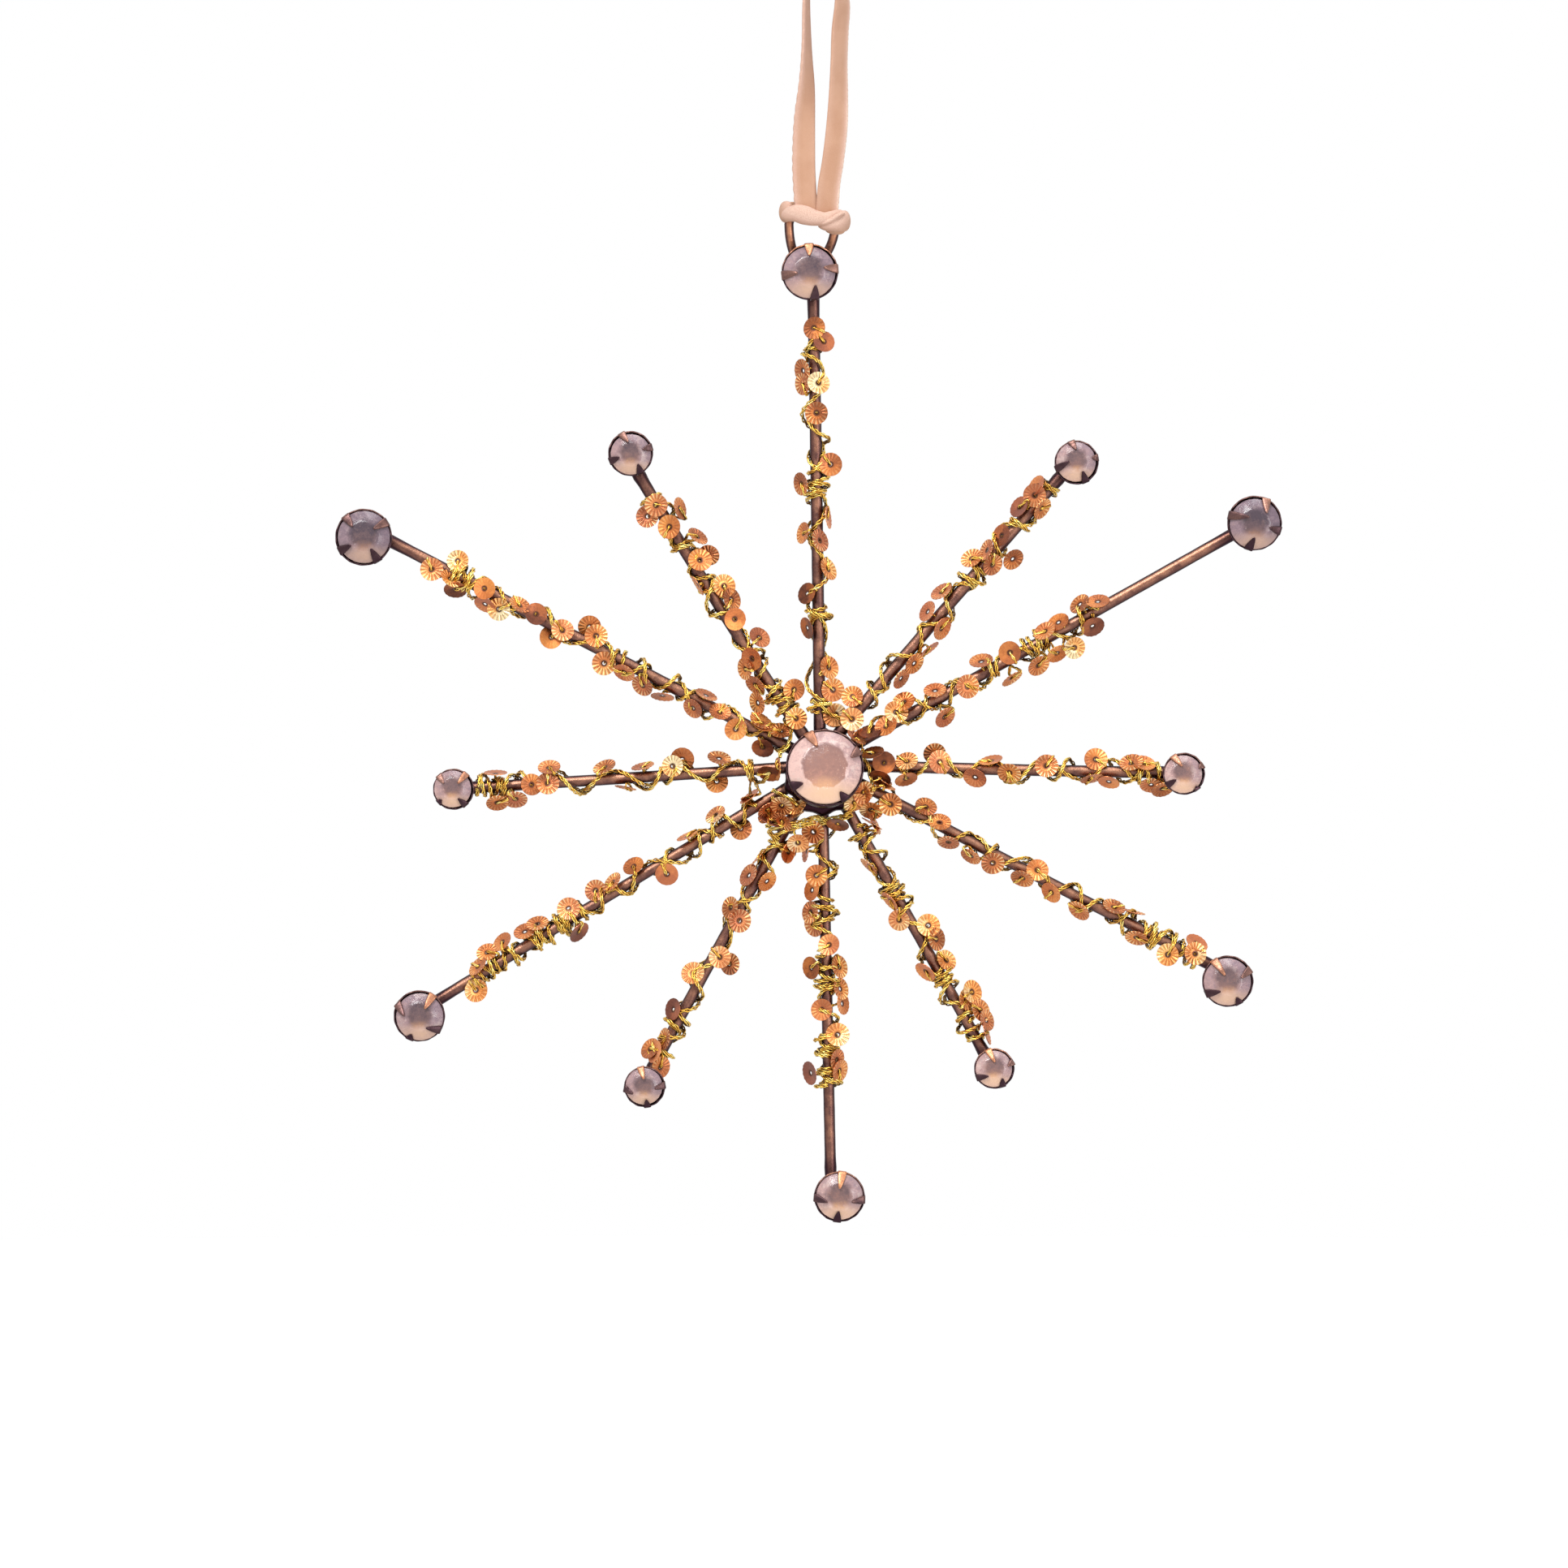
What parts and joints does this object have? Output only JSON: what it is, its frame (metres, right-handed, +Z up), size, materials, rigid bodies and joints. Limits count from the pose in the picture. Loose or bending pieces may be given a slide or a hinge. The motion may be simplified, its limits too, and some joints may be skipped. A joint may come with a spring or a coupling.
{
  "type": "starburst hanging ornament",
  "caption": "Hanging starburst of bent copper rods wound with sequin garlands, each tipped with a claw-set stone, with a larger stone in the centre and a velvet ribbon loop.",
  "frame": {"origin": "where the top of the ribbon loop bears on the hook that holds the ornament up, straight above the centre stone", "axes": "+Z up along the ribbon, the star faces -Y and lies in the XZ plane, +X to the viewer's right"},
  "size_m": [0.1276, 0.0096, 0.1856],
  "materials": {
    "rod_copper": "satin antique copper plating on brass wire",
    "setting_copper": "dark antique copper plating, darkened in the recesses",
    "opal_glass": "faceted opalescent glass",
    "sequin_copper": "metallised copper sequins on gold chain thread",
    "velvet": "peach velvet ribbon"
  },
  "bodies": {
    "hanger": {"ribbon_knot": "velvet", "ribbon_strand_left": "velvet", "ribbon_strand_right": "velvet"},
    "hitch": {"ribbon_hitch": "velvet"},
    "star": {"ray_01": "rod_copper", "tip_setting_01": "setting_copper", "tip_stone_01": "opal_glass", "sequin_garland_01": "sequin_copper", "ray_02": "rod_copper", "tip_setting_02": "setting_copper", "tip_stone_02": "opal_glass", "sequin_garland_02": "sequin_copper", "ray_03": "rod_copper", "tip_setting_03": "setting_copper", "tip_stone_03": "opal_glass", "sequin_garland_03": "sequin_copper", "ray_04": "rod_copper", "tip_setting_04": "setting_copper", "tip_stone_04": "opal_glass", "sequin_garland_04": "sequin_copper", "ray_05": "rod_copper", "tip_setting_05": "setting_copper", "tip_stone_05": "opal_glass", "sequin_garland_05": "sequin_copper", "ray_06": "rod_copper", "tip_setting_06": "setting_copper", "tip_stone_06": "opal_glass", "sequin_garland_06": "sequin_copper", "ray_07": "rod_copper", "tip_setting_07": "setting_copper", "tip_stone_07": "opal_glass", "sequin_garland_07": "sequin_copper", "ray_08": "rod_copper", "tip_setting_08": "setting_copper", "tip_stone_08": "opal_glass", "sequin_garland_08": "sequin_copper", "ray_09": "rod_copper", "tip_setting_09": "setting_copper", "tip_stone_09": "opal_glass", "sequin_garland_09": "sequin_copper", "ray_10": "rod_copper", "tip_setting_10": "setting_copper", "tip_stone_10": "opal_glass", "sequin_garland_10": "sequin_copper", "ray_11": "rod_copper", "tip_setting_11": "setting_copper", "tip_stone_11": "opal_glass", "sequin_garland_11": "sequin_copper", "ray_12": "rod_copper", "tip_setting_12": "setting_copper", "tip_stone_12": "opal_glass", "sequin_garland_12": "sequin_copper", "centre_setting": "setting_copper", "centre_stone": "opal_glass", "hub_plate": "rod_copper", "bail": "rod_copper"}
  },
  "joints": [
    {"name": "ribbon_twist", "type": "hinge", "parent": "hanger", "child": "hitch", "pos_m": [0, 0, 0], "axis": [0, 0, 1], "range_deg": [-180, 180], "stiffness_Nm_per_rad": 0.00002, "deforming": ["ribbon_strand_left", "ribbon_strand_right"]},
    {"name": "bail_swing", "type": "hinge", "parent": "hitch", "child": "star", "pos_m": [-0.0017, 0, -0.0376], "axis": [1, 0, 0], "range_deg": [-25, 60]}
  ]
}
